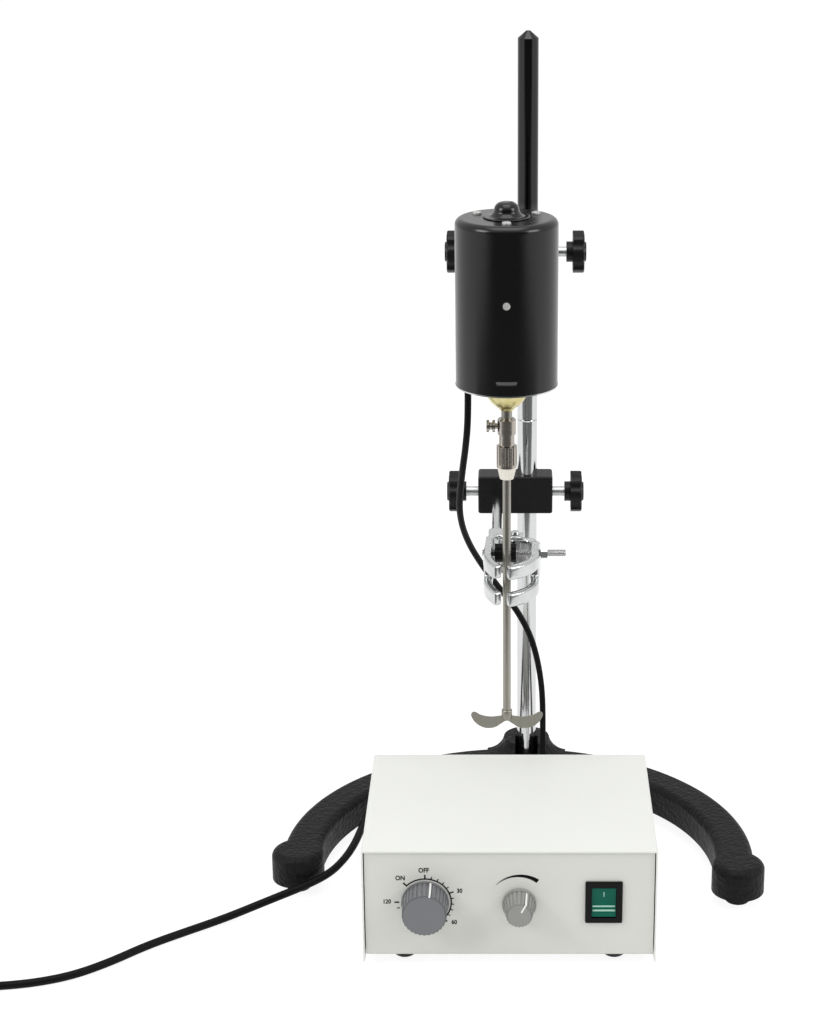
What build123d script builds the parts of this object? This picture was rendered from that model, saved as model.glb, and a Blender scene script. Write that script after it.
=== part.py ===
from build123d import *
import os
from math import cos, pi, radians, sin, tan

os.makedirs("parts", exist_ok=True)

# Overhead laboratory stirrer: a motor and a flask clamp on a rod stand, with a
# separate speed controller. Millimetres, +Z up, bench at z 0, -Y to the user.

# Fits
slide_gap = 0.08
loose_gap = 0.3
seat_gap = 0.05

# Stand rod
rod_d = 16.0
rod_x = 8.5
rod_y = 149.8
rod_top = 630.0
rod_joint_z = 324.0
rod_point = 5.5
spigot_d = 10.0
spigot_len = 16.0

# Horseshoe base
base_turn = -3.5
crown_r = 166.0
crown_front = 10.0
crown_shift = 3.0
arm_w = 29.0
arm_low = 9.0
arm_top = 33.0
arm_straight = 13.0
arm_round = 6.0
pad_r = 20.0
pad_out = 2.6
foot_h = 7.0
foot_d = 19.0
hub_d = 37.6
hub_top = 45.0
hub_flare = 14.0
saddle_floor = 29.0
saddle_w = 19.0

# Controller case
case_x = -5.65
case_w = 210.5
case_front = -148.2
case_d = 158.5
case_top = 93.6
flap_low = 5.0
sheet = 1.2
bend_r = 2.0
tray_low = 9.5
panel_inset = 1.5
side_gap = 0.8
case_foot_d = 19.5
case_foot_x = 76.1
case_foot_y = 20.0

# Panel controls, measured from the case's centre line and the bench
timer_dx = -60.15
timer_z = 52.4
timer_knob_d = 34.0
timer_knob_h = 19.5
speed_dx = 6.95
speed_z = 51.5
speed_skirt_d = 24.2
speed_face_d = 19.8
speed_knob_h = 18.0
switch_dx = 67.35
switch_z = 52.7
bezel_w = 26.6
bezel_h = 32.7
bezel_t = 2.0
rocker_w = 17.3
rocker_h = 22.7
rocker_tilt = 8.0
bush_d = 7.0
spindle_d = 6.0

# Boss heads
boss_w = 60.0
boss_t = 24.0
boss_h = 31.2
boss_round = 2.0
boss_shift = 9.5
arm_pitch = 24.0
upper_boss_z = 460.0
lower_boss_z = 262.65
knob_screw_d = 8.0
knob_stem = 9.7
knob_d = 33.0
knob_h = 15.5
knob_neck_d = 16.0
knob_lobes = 6

# Motor
motor_dx = 7.85
motor_reach = 169.0
motor_low = 401.0
motor_high = 521.0
motor_d = 73.0
shell_t = 1.5
shoulder_r = 5.0
shaft_d = 8.0
motor_arm_d = 12.0
bearing_d = 22.0
bearing_h = 7.0
flange_d = 31.6
flange_low = 381.0
register_h = 13.0
stack_low = 438.0
stack_h = 40.0
armature_d = 32.0
air_gap = 0.5
stator_d = 64.0
yoke_t = 5.0
pole_w = 16.0
cap_screw_r = 24.0
front_screw_z = 466.0
vent_w = 16.2
vent_h = 3.1
vent_z = 410.0
lead_dx = -27.85
lead_dy = 1.0
dome_skirt_d = 34.0
dome_d = 18.0
dome_h = 11.0
dome_bore_d = 13.0

# Chuck, stirring rod and blade
collar_d = 13.5
collar_top = 374.4
collar_h = 11.4
sleeve_d = 11.4
nut_d = 15.0
nut_top = 354.0
nut_h = 16.0
nozzle_h = 9.0
nozzle_top_d = 14.2
nozzle_tip_d = 10.0
stir_d = 6.0
thumb_z = 368.7
thumb_d = 9.0
blade_span = 56.8
blade_t = 1.5
blade_tip_z = 144.0
blade_low_z = 130.0
blade_hub_z = 137.5
blade_hub_d = 9.0
blade_hub_h = 9.0

# Flask clamp
clamp_rod_d = 8.0
clamp_rod_front = 46.8
clamp_rod_back = 166.8
pivot_x = -1.5
pivot_y = 31.8
pivot_d = 5.0
finger_h = 11.0
finger_pitch = 21.0
finger_t = 6.5
jaw_top = 268.0
jaw_low = 236.0
web_front = -4.0
fork_t = 3.0
fork_r = 8.0
stud_y = 5.8
stud_z = 262.0
stud_d = 5.0
stud_end = 36.6
star_x = -8.7
star_d = 14.0
star_w = 16.0

# Cords
mains_d = 6.0
motor_lead_d = 5.0
gland_h = 22.0
gland_z = 30.0
mains_gland_dx = -40.0
lead_gland_dx = 15.65
gland_flange_d = 14.0
coil_x = -412.0
coil_y = -219.2
coil_r = 33.0
coil_layers = 2
coil_ranks = 3
plug_l = 38.0
plug_w = 26.0
plug_h = 16.0
pin_d = 4.0
pin_l = 19.0
pin_pitch = 19.0

# Places worked out from the sizes above
arm_x = rod_x - arm_pitch
boss_x = rod_x - boss_shift
motor_x = arm_x + motor_dx
motor_y = rod_y - motor_reach
lead_x = motor_x + lead_dx
lead_y = motor_y + lead_dy
case_back = case_front + case_d
panel_y = case_front + panel_inset
back_y = case_back - panel_inset
nut_low = nut_top - nut_h
nozzle_low = nut_low - nozzle_h
stack_high = stack_low + stack_h
stack_mid = stack_low + stack_h / 2
panel_top = case_top - sheet - 0.4
tray_w = case_w - 2 * (sheet + side_gap)

base_plane = Plane(origin=(rod_x, rod_y, 0), x_dir=(cos(radians(base_turn)), sin(radians(base_turn)), 0))
hub_plane = Plane(origin=(rod_x, rod_y, 0))
motor_plane = Plane(origin=(motor_x, motor_y, 0))
arc_y = -crown_r - crown_front
pad_x = crown_r + pad_out
pad_y = arc_y - arm_straight
foot_spots = [(crown_shift - pad_x, pad_y), (crown_shift + pad_x, pad_y), (0, -crown_front)]


def put(piece, name):
    """Label a finished piece and write its file."""
    piece.part.label = name
    export_step(piece.part, "parts/" + name + ".step")


# Flared root of the hub, kept to the width of the horseshoe's arm
with BuildPart() as hub_root:
    with BuildSketch(hub_plane * Plane.XZ):
        with BuildLine():
            Polyline((0, arm_low), (hub_d / 2 + hub_flare, arm_low), (hub_d / 2 + hub_flare, arm_top))
            CenterArc((hub_d / 2 + hub_flare, arm_top + hub_flare), hub_flare, 180, 90)
            Polyline((hub_d / 2, arm_top + hub_flare), (0, arm_top + hub_flare), (0, arm_low))
        make_face()
    revolve(axis=Axis((rod_x, rod_y, 0), (0, 0, 1)))
    with BuildSketch(base_plane.offset(arm_low)):
        with Locations((crown_shift, arc_y)):
            Circle(crown_r + arm_w / 2 - 1)
            Circle(crown_r - arm_w / 2 + 1, mode=Mode.SUBTRACT)
    extrude(amount=hub_top - arm_low, mode=Mode.INTERSECT)

# Cast iron horseshoe with a pad at each toe and an open saddle hub at the crown
with BuildPart() as base_casting:
    with BuildSketch(base_plane.offset(arm_low)):
        with Locations((crown_shift, arc_y)):
            Circle(crown_r + arm_w / 2)
            Circle(crown_r - arm_w / 2, mode=Mode.SUBTRACT)
            with Locations((0, -crown_r)):
                Rectangle(3 * crown_r, 2 * crown_r, mode=Mode.SUBTRACT)
        with Locations((crown_shift - crown_r, arc_y - arm_straight / 2),
                       (crown_shift + crown_r, arc_y - arm_straight / 2)):
            Rectangle(arm_w, arm_straight)
        with Locations(*foot_spots[:2]):
            Circle(pad_r)
    extrude(amount=arm_top - arm_low)
    fillet(base_casting.faces().sort_by(Axis.Z)[-1].edges(), arm_round)
    with BuildSketch(base_plane.offset(foot_h)):
        with Locations(*foot_spots):
            Circle(foot_d / 2 + 1)
    extrude(amount=arm_round)
    add(hub_root.part)
    with BuildSketch(hub_plane.offset(arm_low)):
        Circle(hub_d / 2)
    extrude(amount=hub_top - arm_low)
    with BuildSketch(hub_plane.offset(saddle_floor)):
        Circle(rod_d / 2 + seat_gap)
        with Locations((0, -hub_d)):
            Rectangle(saddle_w, 2 * hub_d)
    extrude(amount=hub_top, mode=Mode.SUBTRACT)
    with BuildSketch(hub_plane.offset(arm_low)):
        Circle(spigot_d / 2 + seat_gap)
    extrude(amount=hub_top, mode=Mode.SUBTRACT)
put(base_casting, "base_casting")

# Rubber feet under the toes and the crown
with BuildPart() as base_feet:
    with BuildSketch(base_plane):
        with Locations(*foot_spots):
            Circle(foot_d / 2)
    extrude(amount=foot_h)
    fillet(base_feet.edges().group_by(Axis.Z)[0], 1.5)
put(base_feet, "base_feet")

# Lower rod section, screwed into the hub by its spigot and bored for the upper one
with BuildPart() as lower_rod:
    with BuildSketch(hub_plane.offset(saddle_floor)):
        Circle(rod_d / 2)
    extrude(amount=rod_joint_z - saddle_floor)
    chamfer(lower_rod.edges().group_by(Axis.Z)[-1], 0.6)
    with BuildSketch(hub_plane.offset(arm_low + 1)):
        Circle(spigot_d / 2)
    extrude(amount=saddle_floor - arm_low - 1)
    with BuildSketch(hub_plane.offset(rod_joint_z)):
        Circle(spigot_d / 2 + seat_gap)
    extrude(amount=-spigot_len - 1, mode=Mode.SUBTRACT)
put(lower_rod, "lower_rod")

# Upper rod section with a turned point
with BuildPart() as upper_rod:
    with BuildSketch(hub_plane.offset(rod_joint_z)):
        Circle(rod_d / 2)
    extrude(amount=rod_top - rod_joint_z)
    chamfer(upper_rod.edges().group_by(Axis.Z)[-1], length=rod_point, length2=rod_d / 2 - 1.5)
    chamfer(upper_rod.edges().group_by(Axis.Z)[0], 0.6)
    with BuildSketch(hub_plane.offset(rod_joint_z)):
        Circle(spigot_d / 2)
    extrude(amount=-spigot_len)
put(upper_rod, "upper_rod")


def boss_head(height, cross_d):
    """Cast block bored for the stand rod and, beside it, for a horizontal rod."""
    with BuildPart() as block:
        with BuildSketch(Plane.XY.offset(height - boss_h / 2)):
            with Locations((boss_x, rod_y)):
                Rectangle(boss_w, boss_t)
        extrude(amount=boss_h)
        fillet(block.edges(), boss_round)
        with BuildSketch(hub_plane.offset(height)):
            Circle(rod_d / 2 + slide_gap)
        extrude(amount=boss_h, both=True, mode=Mode.SUBTRACT)
        with BuildSketch(Plane.XZ.offset(-rod_y)):
            with Locations((arm_x, height)):
                Circle(cross_d / 2 + slide_gap)
        extrude(amount=boss_t, both=True, mode=Mode.SUBTRACT)
        for inner in (arm_x, rod_x):
            side = -1 if inner < boss_x else 1
            with BuildSketch(Plane(origin=(inner, rod_y, height), z_dir=(side, 0, 0))):
                Circle(knob_screw_d / 2 + slide_gap)
            extrude(amount=boss_w / 2, mode=Mode.SUBTRACT)
    return block


def boss_knob(height, side, bore_x, bore_d):
    """Lobed hand knob on a screw whose tip stands just off the rod that it clamps."""
    face = boss_x + side * boss_w / 2
    tip = abs(face - bore_x) - bore_d / 2 - loose_gap
    out = Plane(origin=(face, rod_y, height), z_dir=(side, 0, 0))
    with BuildPart() as knob:
        with BuildSketch(out.offset(knob_stem)):
            Circle(knob_d / 2)
            with PolarLocations(knob_d / 2 + 3.4, knob_lobes):
                Circle(6.2, mode=Mode.SUBTRACT)
        extrude(amount=knob_h - 1.5)
        fillet(knob.faces().filter_by(Axis.X).edges(), 1.4)
        with BuildSketch(out.offset(knob_stem)):
            Circle(knob_d / 2 + 2)
            Circle(knob_neck_d / 2, mode=Mode.SUBTRACT)
        extrude(amount=5, mode=Mode.SUBTRACT)
        with BuildSketch(out.offset(knob_stem + knob_h - 1.5)):
            Circle(knob_neck_d / 2)
        extrude(amount=1.5, taper=25)
        with BuildSketch(out.offset(-tip)):
            Circle(knob_screw_d / 2)
        extrude(amount=tip + knob_stem + 1)
    return knob


# Two boss heads, one under the motor arm and one under the flask clamp, with four knobs
for height, cross_d, place in ((upper_boss_z, motor_arm_d, "upper"), (lower_boss_z, clamp_rod_d, "lower")):
    put(boss_head(height, cross_d), place + "_boss")
    put(boss_knob(height, 1, rod_x, rod_d), place + "_rod_knob")
    put(boss_knob(height, -1, arm_x, cross_d), place + "_arm_knob")

# Steel arm that carries the motor
bracket_t = 12.0
bracket_back = motor_y + motor_d / 2 + bracket_t
with BuildPart() as motor_arm:
    with BuildSketch(Plane(origin=(arm_x, bracket_back - 9, upper_boss_z), z_dir=(0, 1, 0))):
        Circle(motor_arm_d / 2)
    extrude(amount=rod_y + boss_t / 2 + 6 - bracket_back + 9)
    chamfer(motor_arm.edges().sort_by(Axis.Y)[-1], 1)
put(motor_arm, "motor_arm")

# Bracket saddled on the back of the motor, with a socket for the arm
with BuildPart() as motor_bracket:
    with BuildSketch(Plane.XY.offset(upper_boss_z - 19)):
        with Locations((motor_x - motor_dx / 2, motor_y + motor_d / 2 + bracket_t / 2 - 3)):
            Rectangle(38, bracket_t + 6)
        with Locations((motor_x, motor_y)):
            Circle(motor_d / 2 + seat_gap, mode=Mode.SUBTRACT)
    extrude(amount=38)
    fillet(motor_bracket.edges().filter_by(Axis.Z).group_by(Axis.Y)[-1], 4)
    with BuildSketch(Plane(origin=(arm_x, bracket_back, upper_boss_z), z_dir=(0, 1, 0))):
        Circle(11)
    extrude(amount=8)
    fillet(motor_bracket.faces().sort_by(Axis.Y)[-1].edges(), 1.5)
    with BuildSketch(Plane(origin=(arm_x, bracket_back - 9 - seat_gap, upper_boss_z), z_dir=(0, 1, 0))):
        Circle(motor_arm_d / 2 + seat_gap)
    extrude(amount=40, mode=Mode.SUBTRACT)
put(motor_bracket, "motor_bracket")

# Drawn steel shell over the motor, open below, with a vent slot at the front
with BuildPart() as motor_cap:
    with BuildSketch(motor_plane.offset(motor_low)):
        Circle(motor_d / 2)
    extrude(amount=motor_high - motor_low)
    fillet(motor_cap.edges().group_by(Axis.Z)[-1], shoulder_r)
    with BuildSketch(motor_plane.offset(motor_low)):
        Circle(motor_d / 2 - shell_t)
    extrude(amount=motor_high - shoulder_r - motor_low, mode=Mode.SUBTRACT)
    with BuildSketch(motor_plane.offset(motor_low)):
        Circle(motor_d / 2 - shoulder_r)
    extrude(amount=motor_high - shell_t - motor_low, mode=Mode.SUBTRACT)
    with BuildSketch(motor_plane.offset(motor_high - 2 * shell_t)):
        Circle(7)
        with PolarLocations(cap_screw_r, 3, start_angle=-90):
            Circle(2.2)
    extrude(amount=3 * shell_t, mode=Mode.SUBTRACT)
    with BuildSketch(Plane(origin=(motor_x, motor_y, 0), x_dir=(1, 0, 0), z_dir=(0, -1, 0))):
        with Locations((0, vent_z)):
            SlotOverall(vent_w, vent_h)
        with Locations((0, front_screw_z)):
            Circle(2.2)
    extrude(amount=motor_d, mode=Mode.SUBTRACT)
put(motor_cap, "motor_cap")

# Bell shaped cap over the shaft's upper end, hollow below
with BuildPart() as top_dome:
    with BuildSketch(motor_plane.offset(motor_high)):
        Circle(dome_skirt_d / 2)
    extrude(amount=1)
    with BuildSketch(motor_plane.offset(motor_high + 1)):
        Circle(dome_d / 2 + 3)
    extrude(amount=2.5, taper=45)
    with BuildSketch(motor_plane.offset(motor_high + 1)):
        Circle(dome_d / 2)
    extrude(amount=dome_h - 1)
    fillet(top_dome.edges().group_by(Axis.Z)[-1], dome_d / 3)
    with BuildSketch(motor_plane.offset(motor_high)):
        Circle(dome_bore_d / 2)
    extrude(amount=dome_h / 2, mode=Mode.SUBTRACT)
put(top_dome, "top_dome")

# Screws that hold the shell, three on top and one at the front
with BuildPart() as cover_screws:
    with BuildSketch(motor_plane.offset(motor_high)):
        with PolarLocations(cap_screw_r, 3, start_angle=-90):
            Circle(3.2)
    extrude(amount=1.6)
    fillet(cover_screws.edges().group_by(Axis.Z)[-1], 0.9)
    with BuildSketch(motor_plane.offset(motor_high)):
        with PolarLocations(cap_screw_r, 3, start_angle=-90):
            Circle(1.9)
    extrude(amount=-10)
    front_face = Plane(origin=(motor_x, motor_y - motor_d / 2, front_screw_z), z_dir=(0, -1, 0))
    with BuildSketch(front_face):
        Circle(2.6)
    extrude(amount=1.2)
    with BuildSketch(front_face):
        Circle(1.9)
    extrude(amount=-shell_t - 2)
put(cover_screws, "cover_screws")

# Base plate in the shell's mouth, with a register ring and three posts under the stator
with BuildPart() as motor_base_plate:
    with BuildSketch(motor_plane.offset(motor_low - 1)):
        Circle(motor_d / 2 + 0.3)
    extrude(amount=1)
    with BuildSketch(motor_plane.offset(motor_low)):
        Circle(motor_d / 2 - shell_t - seat_gap)
    extrude(amount=register_h)
    with BuildSketch(motor_plane.offset(motor_low + 3)):
        Circle(motor_d / 2 - shell_t - 2)
    extrude(amount=register_h, mode=Mode.SUBTRACT)
    with BuildSketch(motor_plane.offset(motor_low + 3)):
        with PolarLocations(stator_d / 2 - 4, 3, start_angle=30):
            Circle(3)
    extrude(amount=stack_low - motor_low - 3)
    with BuildSketch(motor_plane.offset(motor_low - 1)):
        Circle(bearing_d / 2 - 1)
        with Locations((lead_dx, lead_dy)):
            Circle(motor_lead_d / 2 + 1.5)
    extrude(amount=5, mode=Mode.SUBTRACT)
put(motor_base_plate, "motor_base_plate")

# Passivated flange under the base plate, which holds the lower bearing
with BuildPart() as motor_flange:
    with BuildSketch(motor_plane * Plane.XZ):
        with BuildLine():
            Polyline((0, motor_low - 1), (flange_d / 2, motor_low - 1), (flange_d / 2, motor_low - 3))
            ThreePointArc((flange_d / 2, motor_low - 3), (flange_d / 2 - 2.4, flange_low + 9),
                          (shaft_d / 2 + 2.4, flange_low + 2))
            Polyline((shaft_d / 2 + 2.4, flange_low + 2), (shaft_d / 2 + 1, flange_low), (0, flange_low))
            Line((0, flange_low), (0, motor_low - 1))
        make_face()
    revolve(axis=Axis((motor_x, motor_y, 0), (0, 0, 1)))
    with BuildSketch(motor_plane.offset(motor_low - 1)):
        Circle(bearing_d / 2 + seat_gap)
    extrude(amount=-bearing_h, mode=Mode.SUBTRACT)
    with BuildSketch(motor_plane.offset(motor_low)):
        Circle(shaft_d / 2 + loose_gap)
    extrude(amount=-motor_low + flange_low - 1, mode=Mode.SUBTRACT)
put(motor_flange, "motor_flange")

# Upper end frame inside the shell: it takes the shell's screws and the upper bearing
end_frame_low = stack_high + 14
end_frame_h = 14.0
with BuildPart() as end_frame:
    with BuildSketch(motor_plane.offset(end_frame_low)):
        Circle(motor_d / 2 - shell_t - seat_gap)
    extrude(amount=4)
    with BuildSketch(motor_plane.offset(end_frame_low + 4)):
        Circle(bearing_d / 2 + 3)
        with PolarLocations(cap_screw_r, 3, start_angle=-90):
            Circle(4.5)
    extrude(amount=end_frame_h - 4)
    with BuildSketch(motor_plane.offset(end_frame_low + 4)):
        with PolarLocations(cap_screw_r, 3, start_angle=-90):
            Circle(4.5)
    extrude(amount=motor_high - shell_t - seat_gap - end_frame_low - 4)
    with BuildSketch(motor_plane.offset(stack_high)):
        with PolarLocations(stator_d / 2 - 4, 3, start_angle=30):
            Circle(3)
    extrude(amount=end_frame_low - stack_high)
    with BuildSketch(motor_plane.offset(end_frame_low)):
        Circle(bearing_d / 2 + seat_gap)
    extrude(amount=bearing_h, mode=Mode.SUBTRACT)
    with BuildSketch(motor_plane.offset(end_frame_low)):
        Circle(shaft_d / 2 + loose_gap)
    extrude(amount=end_frame_h, mode=Mode.SUBTRACT)
    with BuildSketch(motor_plane.offset(motor_high)):
        with PolarLocations(cap_screw_r, 3, start_angle=-90):
            Circle(1.9 + slide_gap)
    extrude(amount=-14, mode=Mode.SUBTRACT)
put(end_frame, "end_frame")

# Ball bearings, drawn as plain rings
with BuildPart() as motor_bearings:
    with BuildSketch(motor_plane.offset(motor_low - 1), motor_plane.offset(end_frame_low + bearing_h)):
        Circle(bearing_d / 2)
        Circle(shaft_d / 2 + 0.02, mode=Mode.SUBTRACT)
    extrude(amount=-bearing_h)
put(motor_bearings, "motor_bearings")

# Laminated stator with two salient poles and an opening round the armature
with BuildPart() as stator_core:
    with BuildSketch(motor_plane.offset(stack_low)):
        Circle(stator_d / 2)
        Circle(stator_d / 2 - yoke_t, mode=Mode.SUBTRACT)
        Rectangle(pole_w, stator_d - 4)
        Circle(armature_d / 2 + air_gap + 3)
        Rectangle(stator_d - 2 * yoke_t - 1, 14, mode=Mode.SUBTRACT)
        Circle(armature_d / 2 + air_gap, mode=Mode.SUBTRACT)
    extrude(amount=stack_h)
put(stator_core, "stator_core")

# Two field coils, each looped round one pole
with BuildPart() as field_coils:
    for side in (-1, 1):
        with BuildSketch(Plane(origin=(motor_x, motor_y + side * (armature_d / 2 + air_gap + 3.4), stack_mid),
                               z_dir=(0, side, 0))):
            RectangleRounded(stack_h + 9, pole_w + 9, 4)
            Rectangle(stack_h + 2 * loose_gap, pole_w + 2 * loose_gap, mode=Mode.SUBTRACT)
        extrude(amount=3)
put(field_coils, "field_coils")

# Carbon brushes in their holders, one each side of the commutator
commutator_d = 24.0
commutator_low = 417.0
commutator_h = 16.0
with BuildPart() as brush_holders:
    for side in (-1, 1):
        with BuildSketch(Plane(origin=(motor_x + side * (commutator_d / 2 + 0.1), motor_y, commutator_low + 8),
                               z_dir=(side, 0, 0))):
            Rectangle(7, 7)
        extrude(amount=motor_d / 2 - shell_t - seat_gap - commutator_d / 2 - 0.6)
put(brush_holders, "brush_holders")

# Armature: laminated core with slots, and its commutator
with BuildPart() as armature_core:
    with BuildSketch(motor_plane.offset(stack_low)):
        Circle(armature_d / 2)
        Circle(shaft_d / 2 + seat_gap, mode=Mode.SUBTRACT)
        with PolarLocations(armature_d / 2, 12):
            Rectangle(5, 1.6, mode=Mode.SUBTRACT)
    extrude(amount=stack_h)
put(armature_core, "armature_core")

with BuildPart() as commutator:
    with BuildSketch(motor_plane.offset(commutator_low)):
        Circle(commutator_d / 2)
        Circle(shaft_d / 2 + seat_gap, mode=Mode.SUBTRACT)
    extrude(amount=commutator_h)
put(commutator, "commutator")

# Motor shaft, from above the upper bearing down into the chuck's collar
with BuildPart() as motor_shaft:
    with BuildSketch(motor_plane.offset(collar_top - collar_h)):
        Circle(shaft_d / 2)
    extrude(amount=end_frame_low + end_frame_h + 2 - collar_top + collar_h)
    chamfer(motor_shaft.edges().group_by(Axis.Z)[-1], 0.6)
put(motor_shaft, "motor_shaft")

# Chuck body: a collar on the motor shaft, a sleeve and a tapered collet
with BuildPart() as chuck_body:
    with BuildSketch(motor_plane.offset(collar_top)):
        Circle(collar_d / 2)
    extrude(amount=-collar_h)
    chamfer(chuck_body.edges().group_by(Axis.Z)[-1], 0.8)
    with BuildSketch(motor_plane.offset(collar_top - collar_h)):
        Circle(sleeve_d / 2)
    extrude(amount=nut_top + loose_gap - collar_top + collar_h)
    with BuildSketch(motor_plane.offset(nut_top + loose_gap)):
        Circle(4.8)
    extrude(amount=-nut_h + 3.5, taper=2)
    with BuildSketch(motor_plane.offset(collar_top - collar_h)):
        Circle(shaft_d / 2 + seat_gap)
    extrude(amount=collar_h, mode=Mode.SUBTRACT)
    with BuildSketch(motor_plane.offset(collar_top - collar_h - 3)):
        Circle(stir_d / 2 + seat_gap)
    extrude(amount=-30, mode=Mode.SUBTRACT)
    with BuildSketch(Plane(origin=(motor_x, motor_y, thumb_z), z_dir=(-1, 0, 0))):
        Circle(2 + slide_gap)
    extrude(amount=collar_d, mode=Mode.SUBTRACT)
put(chuck_body, "chuck_body")

# Spool shaped thumb screw in the collar
thumb_start = shaft_d / 2 + loose_gap
with BuildPart() as collar_screw:
    with BuildSketch(Plane(origin=(motor_x, motor_y, thumb_z), x_dir=(0, 0, 1), z_dir=(0, 1, 0))):
        with BuildLine():
            Polyline((0, -thumb_start), (2, -thumb_start), (2, -8.2), (thumb_d / 2, -8.4), (thumb_d / 2, -10.2),
                     (2.6, -10.8), (2.6, -12.2), (thumb_d / 2, -12.8), (thumb_d / 2, -14.6), (0, -14.6), close=True)
        make_face()
    revolve(axis=Axis((motor_x, motor_y, thumb_z), (1, 0, 0)))
put(collar_screw, "collar_screw")

# Fluted nut that closes the collet on the stirring rod
with BuildPart() as chuck_nut:
    with BuildSketch(motor_plane.offset(nut_low)):
        Circle(nut_d / 2)
        with PolarLocations(nut_d / 2 + 0.5, 14):
            Circle(1.1, mode=Mode.SUBTRACT)
    extrude(amount=nut_h)
    with BuildSketch(motor_plane.offset(nut_low)):
        Circle(nut_d / 2)
    extrude(amount=2.4)
    with BuildSketch(motor_plane.offset(nut_low + 2.8)):
        Circle(4.8 + loose_gap)
    extrude(amount=nut_h, mode=Mode.SUBTRACT)
    with BuildSketch(motor_plane.offset(nut_low)):
        Circle(stir_d / 2 + slide_gap)
    extrude(amount=nut_h, mode=Mode.SUBTRACT)
put(chuck_nut, "chuck_nut")

# Ivory guide nozzle below the nut
with BuildPart() as chuck_nozzle:
    with BuildSketch(motor_plane.offset(nut_low)):
        Circle(nozzle_top_d / 2)
    with BuildSketch(motor_plane.offset(nozzle_low)):
        Circle(nozzle_tip_d / 2)
    loft()
    with BuildSketch(motor_plane.offset(nut_low)):
        Circle(stir_d / 2 + slide_gap)
    extrude(amount=-2 * nozzle_h, mode=Mode.SUBTRACT)
put(chuck_nozzle, "chuck_nozzle")

# Stirring rod, held in the collet and riveted into the blade's hub
with BuildPart() as stirring_rod:
    with BuildSketch(motor_plane.offset(blade_hub_z)):
        Circle(stir_d / 2)
    extrude(amount=collar_top - collar_h - 3.2 - blade_hub_z)
put(stirring_rod, "stirring_rod")

# Two lobed crescent blade with a short hub
half_span = blade_span / 2
with BuildPart() as stirring_blade:
    with BuildSketch(Plane(origin=(motor_x, motor_y, 0), x_dir=(1, 0, 0), z_dir=(0, -1, 0))):
        with BuildLine():
            ThreePointArc((0, blade_hub_z), (half_span * 0.3, blade_low_z + 1.6), (half_span * 0.55, blade_low_z))
            ThreePointArc((half_span * 0.55, blade_low_z), (half_span * 0.86, blade_low_z + 4.2),
                          (half_span - 0.6, blade_tip_z - 2.2))
            ThreePointArc((half_span - 0.6, blade_tip_z - 2.2), (half_span - 0.9, blade_tip_z),
                          (half_span - 3, blade_tip_z - 0.6))
            ThreePointArc((half_span - 3, blade_tip_z - 0.6), (half_span * 0.62, blade_hub_z + 0.6),
                          (half_span * 0.3, blade_hub_z + 1.5))
            Line((half_span * 0.3, blade_hub_z + 1.5), (0, blade_hub_z + 4))
            Line((0, blade_hub_z + 4), (0, blade_hub_z))
        make_face()
        mirror(about=Plane.YZ)
    extrude(amount=blade_t / 2, both=True)
    with BuildSketch(motor_plane.offset(blade_hub_z - 0.5)):
        Circle(blade_hub_d / 2)
    extrude(amount=blade_hub_h)
    with BuildSketch(motor_plane.offset(blade_hub_z)):
        Circle(stir_d / 2 + seat_gap)
    extrude(amount=blade_hub_h, mode=Mode.SUBTRACT)
put(stirring_blade, "stirring_blade")

# Rod of the flask clamp, held in the lower boss head
with BuildPart() as clamp_rod:
    with BuildSketch(Plane(origin=(arm_x, clamp_rod_front, lower_boss_z), z_dir=(0, 1, 0))):
        Circle(clamp_rod_d / 2)
    extrude(amount=clamp_rod_back - clamp_rod_front)
    chamfer(clamp_rod.edges().sort_by(Axis.Y)[-1], 0.8)
put(clamp_rod, "clamp_rod")

# Fixed jaw: the rod's socket, a fork round the pivot and two curved fingers
gap_low = jaw_low + finger_h
gap_h = finger_pitch - finger_h
with BuildPart() as clamp_fixed_jaw:
    with BuildSketch(Plane.XY.offset(jaw_low)):
        with BuildLine():
            Polyline((arm_x, pivot_y + 4), (arm_x - 5.2, pivot_y - 6), (arm_x - 6.3, web_front))
            ThreePointArc((arm_x - 6.3, web_front), (arm_x - 4.2, -24), (-13.6, -37))
        trace(line_width=finger_t)
    extrude(amount=jaw_top - jaw_low)
    with BuildSketch(Plane.XY.offset(gap_low)):
        with Locations((arm_x, web_front - 30)):
            Rectangle(40, 60)
    extrude(amount=gap_h, mode=Mode.SUBTRACT)
    with BuildSketch(Plane.XY.offset(jaw_low)):
        with Locations((arm_x, clamp_rod_front - 7)):
            RectangleRounded(13, 14, 3)
    extrude(amount=jaw_top - jaw_low)
    for low in (jaw_low, jaw_top - fork_t):
        with BuildSketch(Plane.XY.offset(low)):
            with BuildLine():
                Line((arm_x, clamp_rod_front - 8), (pivot_x, pivot_y))
            trace(line_width=2 * fork_r - 2)
            with Locations((pivot_x, pivot_y)):
                Circle(fork_r - 1)
        extrude(amount=fork_t)
    with BuildSketch(Plane.XY.offset(jaw_low)):
        with Locations((pivot_x, pivot_y)):
            Circle(pivot_d / 2 + seat_gap)
    extrude(amount=jaw_top, mode=Mode.SUBTRACT)
    with BuildSketch(Plane(origin=(arm_x, clamp_rod_front, lower_boss_z), z_dir=(0, 1, 0))):
        Circle(clamp_rod_d / 2)
    extrude(amount=30, mode=Mode.SUBTRACT)
    with BuildSketch(Plane(origin=(arm_x - 12, stud_y, stud_z), z_dir=(1, 0, 0))):
        Circle(stud_d / 2 + slide_gap)
    extrude(amount=20, mode=Mode.SUBTRACT)
put(clamp_fixed_jaw, "clamp_fixed_jaw")

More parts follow.
